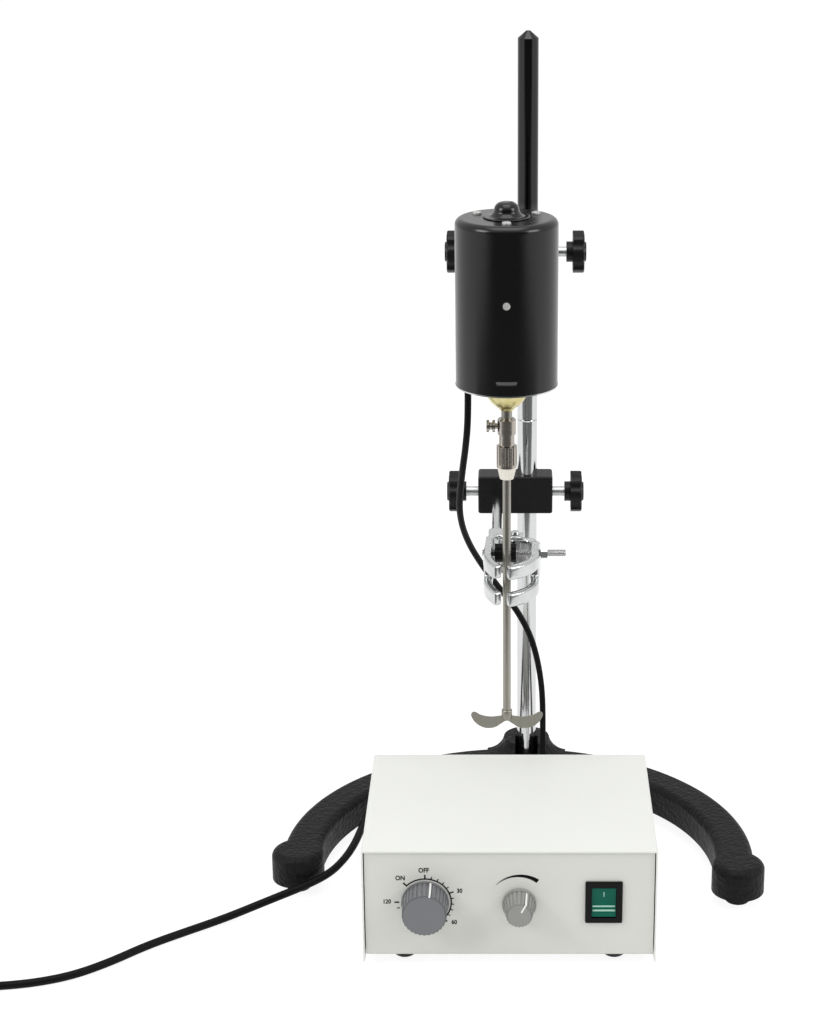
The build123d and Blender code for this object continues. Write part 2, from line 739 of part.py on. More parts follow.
# Moving jaw: a lug between the fork's ears, a cheek with a slot for the stud, two fingers
lug_gap = 0.4
with BuildPart() as clamp_moving_jaw:
    with BuildSketch(Plane.XY.offset(jaw_low + fork_t + lug_gap)):
        with BuildLine():
            Polyline((pivot_x, pivot_y), (pivot_x + 11.5, pivot_y - 1.5), (pivot_x + 16.5, pivot_y - 10),
                     (pivot_x + 14.5, web_front))
        trace(line_width=finger_t)
        with Locations((pivot_x, pivot_y)):
            Circle(pivot_d / 2 + 2.2)
    extrude(amount=jaw_top - jaw_low - 2 * (fork_t + lug_gap))
    with BuildSketch(Plane.XY.offset(jaw_low)):
        with BuildLine():
            Polyline((pivot_x + 15.6, pivot_y - 14), (pivot_x + 14.5, web_front))
            ThreePointArc((pivot_x + 14.5, web_front), (9.4, -24), (-7.2, -38.4))
        trace(line_width=finger_t)
    extrude(amount=jaw_top - jaw_low)
    with BuildSketch(Plane.XY.offset(gap_low)):
        with Locations((pivot_x, web_front - 30)):
            Rectangle(80, 60)
    extrude(amount=gap_h, mode=Mode.SUBTRACT)
    with BuildSketch(Plane.XY.offset(jaw_low)):
        with Locations((pivot_x, pivot_y)):
            Circle(pivot_d / 2 + slide_gap)
    extrude(amount=jaw_top, mode=Mode.SUBTRACT)
    with BuildSketch(Plane(origin=(pivot_x + 6, stud_y, stud_z), x_dir=(0, 1, 0), z_dir=(1, 0, 0))):
        with Locations((-1.6, 0)):
            SlotOverall(stud_d + 7, stud_d + 1)
    extrude(amount=30, mode=Mode.SUBTRACT)
put(clamp_moving_jaw, "clamp_moving_jaw")

# Rivet on which the moving jaw turns
with BuildPart() as clamp_pin:
    with BuildSketch(Plane.XY.offset(jaw_low)):
        with Locations((pivot_x, pivot_y)):
            Circle(pivot_d / 2)
    extrude(amount=jaw_top - jaw_low)
    for low, way in ((jaw_top, 1), (jaw_low, -1)):
        with BuildSketch(Plane.XY.offset(low)):
            with Locations((pivot_x, pivot_y)):
                Circle(pivot_d / 2 + 1.2)
        extrude(amount=way * 2, taper=20)
put(clamp_pin, "clamp_pin")

# Threaded stud across the jaws, with its star wheel between them
with BuildPart() as clamp_stud:
    with BuildSketch(Plane(origin=(arm_x - 10.5, stud_y, stud_z), z_dir=(1, 0, 0))):
        Circle(stud_d / 2)
    extrude(amount=stud_end - arm_x + 10.5)
    chamfer(clamp_stud.edges().group_by(Axis.X)[-1], 0.7)
put(clamp_stud, "clamp_stud")

with BuildPart() as clamp_wheel:
    with BuildSketch(Plane(origin=(star_x - star_w / 2, stud_y, stud_z), z_dir=(1, 0, 0))):
        Circle(star_d / 2)
        Circle(stud_d / 2 + 0.02, mode=Mode.SUBTRACT)
        with PolarLocations(star_d / 2 + 1, 7):
            Circle(2, mode=Mode.SUBTRACT)
    extrude(amount=star_w)
put(clamp_wheel, "clamp_wheel")

# Hex nut that pushes the moving jaw
nut_x = pivot_x + 15.6 + finger_t / 2 + loose_gap
with BuildPart() as clamp_nut:
    with BuildSketch(Plane(origin=(nut_x, stud_y, stud_z), z_dir=(1, 0, 0))):
        RegularPolygon(4.7, 6)
        Circle(stud_d / 2 + slide_gap, mode=Mode.SUBTRACT)
    extrude(amount=5)
put(clamp_nut, "clamp_nut")

# Folded tray of the controller: front panel, floor and rear panel
timer_x = case_x + timer_dx
speed_x = case_x + speed_dx
switch_x = case_x + switch_dx
mains_gland_x = case_x + mains_gland_dx
lead_gland_x = case_x + lead_gland_dx
gland_neck_d = 11.0
with BuildPart() as case_tray:
    with BuildSketch(Plane.YZ.offset(case_x)):
        with BuildLine() as tray_line:
            FilletPolyline((panel_y, panel_top), (panel_y, tray_low), (back_y, tray_low), (back_y, panel_top),
                           radius=bend_r)
            offset(amount=sheet, side=Side.LEFT)
        make_face()
    extrude(amount=tray_w / 2, both=True)
    with BuildSketch(Plane(origin=(0, panel_y, 0), x_dir=(1, 0, 0), z_dir=(0, -1, 0))):
        with Locations((timer_x, timer_z), (speed_x, speed_z)):
            Circle(bush_d / 2 + slide_gap)
        with Locations((switch_x, switch_z)):
            Rectangle(bezel_w - 4 + slide_gap, bezel_h - 4 + slide_gap)
    extrude(amount=2 * sheet, both=True, mode=Mode.SUBTRACT)
    with BuildSketch(Plane(origin=(0, back_y, 0), x_dir=(1, 0, 0), z_dir=(0, -1, 0))):
        with Locations((mains_gland_x, gland_z), (lead_gland_x, gland_z)):
            Circle(gland_neck_d / 2 + slide_gap)
    extrude(amount=2 * sheet, both=True, mode=Mode.SUBTRACT)
put(case_tray, "case_tray")

# Folded cover: top and two side flaps that hang a little below the tray
with BuildPart() as case_cover:
    with BuildSketch(Plane(origin=(case_x, case_front, 0), x_dir=(1, 0, 0), z_dir=(0, -1, 0))):
        with BuildLine():
            FilletPolyline((-case_w / 2, flap_low), (-case_w / 2, case_top), (case_w / 2, case_top),
                           (case_w / 2, flap_low), radius=bend_r)
            offset(amount=sheet, side=Side.RIGHT)
        make_face()
    extrude(amount=-case_d)
put(case_cover, "case_cover")

# Domed rubber feet and the screws of the case
foot_x = (case_x - case_foot_x, case_x + case_foot_x)
foot_y = (case_front + case_foot_y, case_back - case_foot_y)
case_corners = [(x, y) for x in foot_x for y in foot_y]
with BuildPart() as case_feet:
    for x, y in case_corners:
        with BuildSketch(Plane(origin=(x, y, 0)) * Plane.XZ):
            with BuildLine():
                Line((0, 0), (case_foot_d / 2 - 4.5, 0))
                RadiusArc((case_foot_d / 2 - 4.5, 0), (case_foot_d / 2, 5.5), -7)
                Polyline((case_foot_d / 2, 5.5), (case_foot_d / 2, tray_low), (0, tray_low), (0, 0))
            make_face()
        revolve(axis=Axis((x, y, 0), (0, 0, 1)))
put(case_feet, "case_feet")

with BuildPart() as case_screws:
    for side in (-1, 1):
        for y in (case_front + 25, case_back - 25):
            with BuildSketch(Plane(origin=(case_x + side * case_w / 2, y, 20), z_dir=(side, 0, 0))):
                Circle(3)
            extrude(amount=1.4)
            fillet(case_screws.edges().group_by(Axis.X)[-1 if side > 0 else 0], 0.8)
put(case_screws, "case_screws")

# Mechanical timer and its ribbed knob
inner_face = panel_y + sheet
with BuildPart() as timer_body:
    with BuildSketch(Plane(origin=(timer_x, inner_face, timer_z), x_dir=(1, 0, 0), z_dir=(0, 1, 0))):
        RectangleRounded(42, 42, 4)
    extrude(amount=30)
    with BuildSketch(Plane(origin=(timer_x, inner_face, timer_z), x_dir=(1, 0, 0), z_dir=(0, -1, 0))):
        Circle(bush_d / 2)
    extrude(amount=sheet)
    with BuildSketch(Plane(origin=(timer_x, inner_face, timer_z), x_dir=(1, 0, 0), z_dir=(0, -1, 0))):
        Circle(spindle_d / 2 + slide_gap)
    extrude(amount=60, both=True, mode=Mode.SUBTRACT)
put(timer_body, "timer_body")


def panel_knob(x, z, skirt_d, face_d, height, ribs, skirt_h):
    """Ribbed panel knob on its spindle, with a pointer groove across the face."""
    front = Plane(origin=(x, panel_y - 0.6, z), x_dir=(1, 0, 0), z_dir=(0, -1, 0))
    with BuildPart() as knob:
        with BuildSketch(front):
            Circle(skirt_d / 2)
        extrude(amount=skirt_h)
        with BuildSketch(front.offset(skirt_h)):
            Circle(skirt_d / 2 - 0.6)
            with PolarLocations(skirt_d / 2, ribs):
                Rectangle(2.2, 1.2, mode=Mode.SUBTRACT)
        with BuildSketch(front.offset(height - 0.8)):
            Circle(face_d / 2 - 0.6)
            with PolarLocations(face_d / 2, ribs):
                Rectangle(2.2, 1.2, mode=Mode.SUBTRACT)
        loft()
        with BuildSketch(front.offset(height - 0.8)):
            Circle(face_d / 2 - 1.7)
        extrude(amount=0.8)
        with BuildSketch(front):
            Circle(spindle_d / 2)
        extrude(amount=-16)
    return knob


put(panel_knob(timer_x, timer_z, timer_knob_d, timer_knob_d - 1, timer_knob_h, 30, 2), "timer_knob")
put(panel_knob(speed_x, speed_z, speed_skirt_d, speed_face_d, speed_knob_h, 22, 3), "speed_knob")

# Speed potentiometer behind the panel
with BuildPart() as speed_pot:
    with BuildSketch(Plane(origin=(speed_x, inner_face, speed_z), x_dir=(1, 0, 0), z_dir=(0, 1, 0))):
        Circle(12)
    extrude(amount=18)
    with BuildSketch(Plane(origin=(speed_x, inner_face, speed_z), x_dir=(1, 0, 0), z_dir=(0, -1, 0))):
        Circle(bush_d / 2)
    extrude(amount=sheet)
    with BuildSketch(Plane(origin=(speed_x, inner_face, speed_z), x_dir=(1, 0, 0), z_dir=(0, -1, 0))):
        Circle(spindle_d / 2 + slide_gap)
    extrude(amount=60, both=True, mode=Mode.SUBTRACT)
put(speed_pot, "speed_pot")

# Rocker switch: bezel and body, with a pocket for the rocker
switch_plane = Plane(origin=(switch_x, panel_y, switch_z), x_dir=(1, 0, 0), z_dir=(0, -1, 0))
pocket_w = rocker_w + 0.6
pocket_h = rocker_h + 1.6
with BuildPart() as power_switch:
    with BuildSketch(switch_plane):
        RectangleRounded(bezel_w, bezel_h, 1)
    extrude(amount=bezel_t)
    fillet(power_switch.faces().sort_by(Axis.Y)[0].edges(), 0.7)
    with BuildSketch(switch_plane):
        Rectangle(bezel_w - 4, bezel_h - 4)
    extrude(amount=-22)
    with BuildSketch(switch_plane.offset(bezel_t)):
        Rectangle(pocket_w, pocket_h)
    extrude(amount=-bezel_t - 14, mode=Mode.SUBTRACT)
put(power_switch, "power_switch")

# Rocker in its neutral V shape, turned half its travel towards ON
rocker_back = 7.0
rocker_pivot = (panel_y + 3.0, switch_z)
with BuildPart() as power_rocker:
    with BuildSketch(Plane(origin=(switch_x, *rocker_pivot), x_dir=(0, 0, 1), z_dir=(1, 0, 0)).rotated((0, 0, 0))):
        with Locations(Rot(0, 0, -rocker_tilt)):
            with BuildLine():
                Polyline((-rocker_h / 2, 4.2), (0, 4.2 + rocker_h / 2 * tan(radians(-rocker_tilt))),
                         (rocker_h / 2, 4.2), (rocker_h / 2, -2))
                ThreePointArc((rocker_h / 2, -2), (0, -rocker_back), (-rocker_h / 2, -2))
                Line((-rocker_h / 2, -2), (-rocker_h / 2, 4.2))
            make_face()
    extrude(amount=rocker_w / 2, both=True)
put(power_rocker, "power_rocker")

# Mains transformer and control board on the tray's floor
floor_z = tray_low + sheet
with BuildPart() as transformer:
    with BuildSketch(Plane.XY.offset(floor_z)):
        with Locations((case_x + 52, case_back - 52)):
            Rectangle(60, 34)
    extrude(amount=50)
    with BuildSketch(Plane.XY.offset(floor_z + 9)):
        with Locations((case_x + 52, case_back - 52)):
            RectangleRounded(38, 54, 5)
    extrude(amount=32)
put(transformer, "transformer")

with BuildPart() as control_board:
    with BuildSketch(Plane.XY.offset(floor_z + 8)):
        with Locations((case_x - 40, case_back - 55)):
            Rectangle(90, 62)
    extrude(amount=1.6)
    with BuildSketch(Plane.XY.offset(floor_z)):
        with Locations((case_x - 40, case_back - 55)):
            with GridLocations(80, 52, 2, 2):
                Circle(3)
    extrude(amount=8)
    with BuildSketch(Plane.XY.offset(floor_z + 9.6)):
        with Locations((case_x - 60, case_back - 45)):
            Rectangle(8, 34)
        with Locations((case_x - 25, case_back - 45), (case_x - 25, case_back - 68)):
            Circle(8)
    extrude(amount=24)
put(control_board, "control_board")

# Strain reliefs of both cords in the rear panel
with BuildPart() as cord_glands:
    for x, cord_d in ((mains_gland_x, mains_d), (lead_gland_x, motor_lead_d)):
        out = Plane(origin=(x, back_y, gland_z), x_dir=(1, 0, 0), z_dir=(0, 1, 0))
        with BuildSketch(out):
            Circle(gland_flange_d / 2)
        extrude(amount=2)
        with BuildSketch(out.offset(2)):
            Circle(gland_neck_d / 2)
        extrude(amount=gland_h - 2, taper=4)
        with BuildSketch(out):
            Circle(gland_neck_d / 2)
        extrude(amount=-sheet)
        with BuildSketch(out.offset(-sheet)):
            Circle(gland_flange_d / 2)
        extrude(amount=-2)
        with BuildSketch(out.offset(gland_h)):
            Circle(cord_d / 2)
        extrude(amount=-gland_h + 4, mode=Mode.SUBTRACT)
put(cord_glands, "cord_glands")


def cord_radii(points):
    """Radius at each inner point: 0.45 of the shorter run over the tangent of half the turn."""
    spots = [Vector(*point) for point in points]
    radii = []
    for before, here, after in zip(spots, spots[1:], spots[2:]):
        turn = (here - before).get_angle(after - here)
        shorter = min((here - before).length, (after - here).length)
        radii.append(0.45 * shorter / tan(radians(turn / 2)))
    return radii


def cord(points, diameter, name):
    """Tube of one cord stretch: straight runs joined by tangent arcs."""
    radii = cord_radii(points)
    print(name, "radii", [round(radius) for radius in radii])
    with BuildPart() as tube:
        with BuildLine() as route:
            FilletPolyline(*points, radius=radii)
        with BuildSketch(Plane(origin=route.wire() @ 0, z_dir=route.wire() % 0)):
            Circle(diameter / 2)
        sweep()
    section = pi * diameter ** 2 / 4
    print(name, "length", round(route.wire().length, 1), "fill", round(tube.part.volume / section / route.wire().length, 4))
    return tube


# Mains lead: out of the rear panel, round the case's left end and away over the bench
mains_start = (mains_gland_x, back_y + 4.2, gland_z)
mains_points = [
    mains_start, (mains_gland_x, 40, 30), (-50, 58, 29.8), (-61.5, 72, 29.3), (-78, 78.5, 28.6),
    (-96, 74.5, 27.6), (-110, 62, 26.4), (-118.5, 44.5, 25), (-122.8, 24, 23.3), (-126.4, 2, 21.6),
    (-132.6, -20, 20), (-143, -41.5, 18.2),
    (-161.5, -54.8, 14.6), (-189, -67.0, 8.6),
    (-218, -83.3, 3.6), (-246, -103.2, 3.1), (-271, -122.6, 3.1), (-294, -145.9, 3.1), (-317, -163.8, 3.1),
    (-341, -176.0, 3.1), (-365, -182.8, 3.1), (-388, -185.8, 3.1), (coil_x + 8, coil_y + coil_r, 3.1)]
put(cord(mains_points, mains_d, "mains_lead"), "mains_lead")

# Put-away coil as one ring, and the short tail to the plug
with BuildPart() as mains_coil:
    with BuildSketch(Plane(origin=(coil_x, coil_y, 0.1)) * Plane.XZ):
        with Locations((coil_r, coil_layers * mains_d / 2)):
            RectangleRounded(coil_ranks * mains_d, coil_layers * mains_d, mains_d / 2 - 0.1)
    revolve(axis=Axis((coil_x, coil_y, 0), (0, 0, 1)))
put(mains_coil, "mains_coil")

plug_x = coil_x - coil_r - 3
plug_y = coil_y - 42
tail_points = [(coil_x - coil_r, coil_y + 6, 3.1), (coil_x - coil_r - 0.6, coil_y - 12, 3.3),
               (coil_x - coil_r - 2.2, coil_y - 28, 5.6), (plug_x, plug_y, plug_h / 2)]
put(cord(tail_points, mains_d, "mains_tail"), "mains_tail")

# Moulded plug and its two pins, lying beside the coil
plug_dir = (Vector(*tail_points[-1]) - Vector(*tail_points[-2])).normalized()
plug_plane = Plane(origin=(plug_x, plug_y, plug_h / 2), x_dir=(1, 0, 0), z_dir=(0, -1, 0))
with BuildPart() as plug_body:
    with BuildSketch(plug_plane):
        Circle(mains_d / 2 + 1.5)
    with BuildSketch(plug_plane.offset(plug_l * 0.45)):
        RectangleRounded(plug_w, plug_h, 5)
    loft()
    with BuildSketch(plug_plane.offset(plug_l * 0.45)):
        RectangleRounded(plug_w, plug_h, 5)
    extrude(amount=plug_l * 0.55)
    fillet(plug_body.faces().sort_by(Axis.Y)[0].edges(), 1.5)
put(plug_body, "plug_body")

with BuildPart() as plug_pins:
    with BuildSketch(plug_plane.offset(plug_l)):
        with GridLocations(pin_pitch, 1, 2, 1):
            Circle(pin_d / 2)
    extrude(amount=pin_l)
    fillet(plug_pins.edges().group_by(Axis.Y)[0], 1)
put(plug_pins, "plug_pins")

# Motor lead: from the motor's base plate down beside the clamp and behind it to the case
lead_split = (21.7, 112.6, 60)
lead_points = [
    (lead_x, lead_y, motor_low - 4), (lead_x, lead_y, 374), (-37.5, -13.5, 351), (-40.6, -1, 327),
    (-43.4, 17.8, 298), (-42.6, 32.8, 277), (-37.5, 50.8, 254), (-28.5, 65.8, 232), (-16, 77.8, 209),
    (-3.5, 84.8, 190), (6.5, 90.2, 171), (13.5, 96.0, 151), (18.0, 102.2, 129), (20.8, 108.8, 106),
    (21.7, 112.6, 83), lead_split]
put(cord(lead_points, motor_lead_d, "motor_lead"), "motor_lead")

lower_points = [lead_split, (21.7, 112.6, 42), (20.6, 108, 24.5), (18.4, 96, 9.5), (15.4, 80, 4.2),
                (12.2, 63.5, 7.2), (10.8, 51, 16.5), (lead_gland_x + 0.2, 40, 25.4),
                (lead_gland_x, 27, gland_z), (lead_gland_x, back_y + 4.2, gland_z)]
put(cord(lower_points, motor_lead_d, "motor_lead_lower"), "motor_lead_lower")

# Grommet where the lead leaves the motor
with BuildPart() as lead_grommet:
    with BuildSketch(motor_plane.offset(motor_low - 1)):
        with Locations((lead_dx, lead_dy)):
            Circle(motor_lead_d / 2 + 2.5)
    extrude(amount=-3)
    with BuildSketch(motor_plane.offset(motor_low - 1)):
        with Locations((lead_dx, lead_dy)):
            Circle(motor_lead_d / 2 + 1.4)
    extrude(amount=4)
put(lead_grommet, "lead_grommet")
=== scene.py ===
from math import cos, pi, radians, sin

import bpy
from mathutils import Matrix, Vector


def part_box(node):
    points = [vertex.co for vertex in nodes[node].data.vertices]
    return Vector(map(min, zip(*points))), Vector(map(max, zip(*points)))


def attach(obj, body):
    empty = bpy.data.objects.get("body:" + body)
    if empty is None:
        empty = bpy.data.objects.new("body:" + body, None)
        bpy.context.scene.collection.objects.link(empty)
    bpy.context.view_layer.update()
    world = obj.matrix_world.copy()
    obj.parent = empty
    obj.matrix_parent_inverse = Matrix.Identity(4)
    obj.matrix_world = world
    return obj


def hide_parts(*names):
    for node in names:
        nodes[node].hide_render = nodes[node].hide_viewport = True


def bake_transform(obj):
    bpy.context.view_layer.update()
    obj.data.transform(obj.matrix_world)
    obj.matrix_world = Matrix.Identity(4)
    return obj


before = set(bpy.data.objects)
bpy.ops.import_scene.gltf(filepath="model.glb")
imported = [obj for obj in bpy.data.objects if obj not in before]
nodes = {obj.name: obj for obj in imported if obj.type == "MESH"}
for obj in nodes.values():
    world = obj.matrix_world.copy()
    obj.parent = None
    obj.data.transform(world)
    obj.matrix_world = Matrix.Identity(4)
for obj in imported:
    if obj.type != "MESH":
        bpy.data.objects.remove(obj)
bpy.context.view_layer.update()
MM = 0.001
bpy.ops.object.select_all(action="DESELECT")

# Camera
# A long lens stands a metre and a half in front of the bench and looks down on it.
# The lens is shifted, because the stirrer stands to the right in the picture.
eye = Vector((-5.0, -1518.7, 820.8)) * MM
look_down = 19.05
bpy.ops.object.camera_add(location=eye, rotation=(radians(90 - look_down), 0, 0))
camera = bpy.context.object
camera.data.sensor_width = 36
camera.data.lens = 76.22
camera.data.shift_x = -0.1000
camera.data.clip_start = 0.05
camera.data.clip_end = 30
bpy.context.scene.camera = camera
bpy.context.scene.view_settings.view_transform = "Standard"


# Studio
# A white sweep under and behind the set, two large soft lamps at the sides and one above.
# Dark cards before the set, seen only in reflections, give gloss paint and metal their dark middles.
class Shade:
    """One socket of a material's nodes, with arithmetic that adds Math nodes."""

    def __init__(self, tree, socket):
        self.tree = tree
        self.socket = socket

    def node(self, kind, out=0, settings=None, stops=None, **inputs):
        """Adds a node: its settings first, then the values or links of its sockets by name."""
        made = self.tree.nodes.new(kind)
        for name, value in (settings or {}).items():
            setattr(made, name, value)
        if stops:
            ramp = made.color_ramp.elements
            while len(ramp) < len(stops):
                ramp.new(0.5)
            for element, (place, value) in zip(ramp, stops):
                element.position = place
                element.color = (value, value, value, 1) if isinstance(value, (int, float)) else (*value, 1)
        for name, value in inputs.items():
            key = int(name[1:]) if name[0] == "_" else name.replace("_", " ")
            if isinstance(value, Shade):
                self.tree.links.new(value.socket, made.inputs[key])
            else:
                made.inputs[key].default_value = value
        return Shade(self.tree, made.outputs[out])

    def math(self, operation, *values):
        return self.node("ShaderNodeMath", settings={"operation": operation},
                         **{"_" + str(i): value for i, value in enumerate(values)})

    def __add__(self, other):
        return self.math("ADD", self, other)

    def __radd__(self, other):
        return self.math("ADD", other, self)

    def __sub__(self, other):
        return self.math("SUBTRACT", self, other)

    def __rsub__(self, other):
        return self.math("SUBTRACT", other, self)

    def __mul__(self, other):
        return self.math("MULTIPLY", self, other)

    def __rmul__(self, other):
        return self.math("MULTIPLY", other, self)

    def above(self, edge, soft):
        """0 below the edge and 1 above it, over a soft width."""
        return self.node("ShaderNodeMapRange", Value=self, From_Min=edge - soft, From_Max=edge + soft)

    def mix(self, low, high):
        """A colour from low to high as this value goes from 0 to 1."""
        return self.node("ShaderNodeMix", 2, {"data_type": "RGBA"}, _0=self, _6=low, _7=high)


def finish(name, colour, rough, metal=0.0, shine=0.5):
    """A new material, the place on its piece and its shader node."""
    made = bpy.data.materials.new(name)
    made.use_nodes = True
    tree = made.node_tree
    shader = tree.nodes["Principled BSDF"]
    shader.inputs["Base Color"].default_value = (*colour, 1)
    shader.inputs["Roughness"].default_value = rough
    shader.inputs["Metallic"].default_value = metal
    shader.inputs["Specular IOR Level"].default_value = shine
    start = Shade(tree, shader.outputs[0])
    place = start.node("ShaderNodeTexCoord", 3)
    return made, place, shader


def feed(shader, name, value):
    value.tree.links.new(value.socket, shader.inputs[name])


def noise(place, scale, detail=3.0, rough=0.55):
    return place.node("ShaderNodeTexNoise", Vector=place, Scale=scale, Detail=detail, Roughness=rough)


def bump(place, shader, height, depth, strength=1.0):
    feed(shader, "Normal", place.node("ShaderNodeBump", Height=height, Distance=depth, Strength=strength))


def stretch(place, x, y, z):
    """The same place, scaled per axis, for brushing that runs one way."""
    return place.node("ShaderNodeMapping", Vector=place, Scale=(x, y, z))


bpy.ops.mesh.primitive_plane_add(size=14, location=(0, 2.0, -0.0004))
floor = bpy.context.object
floor.name = "studio_floor"
paper, place, shader = finish("studio_paper", (0.9, 0.9, 0.9), 0.9, shine=0.0)
camera_ray = place.node("ShaderNodeLightPath", 0)
glossy_ray = place.node("ShaderNodeLightPath", 3)
seen_white = place.node("ShaderNodeEmission", Color=(1, 1, 1, 1), Strength=1.2)
lit_paper = Shade(paper.node_tree, shader.outputs[0])
catch = place.node("ShaderNodeMixShader", _0=camera_ray.math("MAXIMUM", camera_ray, glossy_ray) * 0.75,
                   _1=lit_paper, _2=seen_white)
paper.node_tree.links.new(catch.socket, paper.node_tree.nodes["Material Output"].inputs["Surface"])
floor.data.materials.append(paper)

world = bpy.data.worlds.new("studio_world")
world.use_nodes = True
bpy.context.scene.world = world
back = world.node_tree.nodes["Background"]
back.inputs["Color"].default_value = (1, 1, 1, 1)
back.inputs["Strength"].default_value = 0.55
sky = Shade(world.node_tree, back.outputs[0])
seen_sky = sky.node("ShaderNodeBackground", Color=(1, 1, 1, 1), Strength=1.0)
direct = sky.node("ShaderNodeLightPath", 0)
mirrored = sky.node("ShaderNodeLightPath", 3)
both = sky.node("ShaderNodeMixShader", _0=direct.math("MAXIMUM", direct, mirrored * 0.6), _1=sky, _2=seen_sky)
world.node_tree.links.new(both.socket, world.node_tree.nodes["World Output"].inputs["Surface"])

for spot, aim, wide, power in (
    ((-1.5, -0.9, 1.3), (0, 0, 0.25), 0.8, 13),
    ((1.6, -0.8, 1.2), (0, 0, 0.25), 0.8, 11),
    ((0.0, -0.3, 2.4), (0, 0.0, 0.0), 1.6, 18),
):
    bpy.ops.object.light_add(type="AREA", location=spot)
    lamp = bpy.context.object
    lamp.data.shape = "SQUARE"
    lamp.data.size = wide
    lamp.data.energy = power
    lamp.rotation_euler = (Vector(aim) - Vector(spot)).to_track_quat("-Z", "Y").to_euler()

card_dark, place, shader = finish("card_dark", (0.16, 0.16, 0.16), 0.9, shine=0.0)
for name, spot, wide, deep, tip in (
    ("studio_card_back", (0, -2.7, 0.75), 5.6, 2.7, 90),
    ("studio_card_floor", (0, -1.6, 0.001), 3.0, 2.3, 0),
):
    bpy.ops.mesh.primitive_plane_add(size=1, location=spot, rotation=(radians(tip), 0, 0))
    card = bpy.context.object
    card.name = name
    card.scale = (wide, deep, 1)
    card.visible_camera = False
    card.visible_diffuse = False
    card.visible_shadow = False
    card.data.materials.append(card_dark)


# Mains lead
# A round black PVC lead leaves the rear panel, passes the case's left end and runs away
# over the bench; the rest is wound into a neat coil beside its moulded plug.
def nurbs_route(name, points):
    """A curve object with one smooth open spline through the route's points, in millimetres."""
    data = bpy.data.curves.new(name, "CURVE")
    data.dimensions = "3D"
    spline = data.splines.new("NURBS")
    spline.points.add(len(points) - 1)
    for spot, point in zip(spline.points, points):
        spot.co = (point[0] * MM, point[1] * MM, point[2] * MM, 1)
    spline.order_u = 3
    spline.use_endpoint_u = True
    spline.resolution_u = 8
    made = bpy.data.objects.new(name, data)
    bpy.context.collection.objects.link(made)
    return made


def line_points(route):
    """Points along a route's own smooth line."""
    bpy.context.view_layer.update()
    mesh = bpy.data.meshes.new_from_object(route.evaluated_get(bpy.context.evaluated_depsgraph_get()))
    points = [vertex.co.copy() for vertex in mesh.vertices]
    bpy.data.meshes.remove(mesh)
    return points


def run_length(points):
    return sum((b - a).length for a, b in zip(points, points[1:]))


mains_d = 6.0
coil_x, coil_y = -412.0, -219.2
coil_outer, coil_pitch, coil_low, coil_high = 39.5, 6.15, 3.1, 9.4
lower_turns, upper_turns, turn_points = 2.5, 2.75, 16
mains_gland = (-45.65, 13.0, 30.0)
mains_points = [
    mains_gland, (-45.65, 40, 30), (-50, 58, 29.8), (-61.5, 72, 29.3), (-78, 78.5, 28.6),
    (-96, 74.5, 27.6), (-110, 62, 26.4), (-118.5, 44.5, 25), (-122.8, 24, 23.3), (-126.4, 2, 21.6),
    (-132.6, -20, 20), (-143, -41.5, 18.2), (-161.5, -54.8, 14.6), (-189, -67.0, 8.6),
    (-218, -83.3, 3.6), (-246, -103.2, 3.1), (-271, -122.6, 3.1), (-294, -145.9, 3.1), (-317, -163.8, 3.1),
    (-341, -173.5, 3.1), (-365, -178.2, 3.1), (-388, -179.6, 3.1)]
coil_steps = int((lower_turns + upper_turns) * turn_points)
for step in range(coil_steps + 1):
    turns = step / turn_points
    angle = pi / 2 + 2 * pi * turns
    inward = min(turns, lower_turns)
    outward = max(turns - lower_turns, 0)
    radius = coil_outer - coil_pitch * inward + 5.6 * outward
    climb = min(max((turns - lower_turns + 0.35) / 0.4, 0), 1)
    height = coil_low + (coil_high - coil_low) * climb
    mains_points.append((coil_x + radius * cos(angle), coil_y + radius * sin(angle), height))
plug_x, plug_y, plug_z = -448.0, -261.2, 8.0
mains_points += [(-451.2, -234, 9.4), (-449.2, -249, 8.6), (plug_x, plug_y, plug_z)]
mains_lead = nurbs_route("mains_lead_cord", mains_points)
mains_length = run_length(line_points(mains_lead))
mains_lead.data.bevel_depth = mains_d / 2 * MM
mains_lead.data.bevel_resolution = 4
mains_lead.data.use_fill_caps = True

cord_skin, place, shader = finish("cord_pvc", (0.003, 0.003, 0.0033), 0.46, shine=0.12)
soil = noise(place, 140)
feed(shader, "Roughness", 0.4 + 0.16 * soil)
bump(place, shader, noise(place, 900, 2), 0.00006, 0.5)
mains_lead.data.materials.append(cord_skin)
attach(mains_lead, "stand")
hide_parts("mains_lead", "mains_coil", "mains_tail")

# Motor lead
# A thinner lead leaves the motor's base plate, hangs beside and behind the flask clamp and
# goes down behind the case to its own strain relief.
motor_lead_d = 5.0
lead_gland = (10.0, 13.0, 30.0)
lead_exit = (-35.5, -18.2, 397.0)
lead_points = [
    lead_exit, (-35.5, -18.2, 374), (-37.5, -13.5, 351), (-40.6, -1, 327),
    (-43.4, 17.8, 298), (-42.6, 32.8, 277), (-37.5, 50.8, 254), (-28.5, 65.8, 232), (-16, 77.8, 209),
    (-3.5, 84.8, 190), (6.5, 90.2, 171), (13.5, 96.0, 151), (18.0, 102.2, 129), (20.8, 108.8, 106),
    (21.7, 112.6, 83), (21.7, 112.6, 42), (20.6, 108, 24.5), (18.4, 96, 9.5), (15.4, 80, 4.2),
    (12.2, 63.5, 7.2), (10.8, 51, 16.5), (10.2, 40, 25.4), (10.0, 27, 30), lead_gland]
lead_route = nurbs_route("motor_lead_route", lead_points)
lead_path = line_points(lead_route)
lead_route.data.bevel_depth = motor_lead_d / 2 * MM
lead_route.data.bevel_resolution = 4
lead_route.data.use_fill_caps = True
bpy.context.view_layer.update()
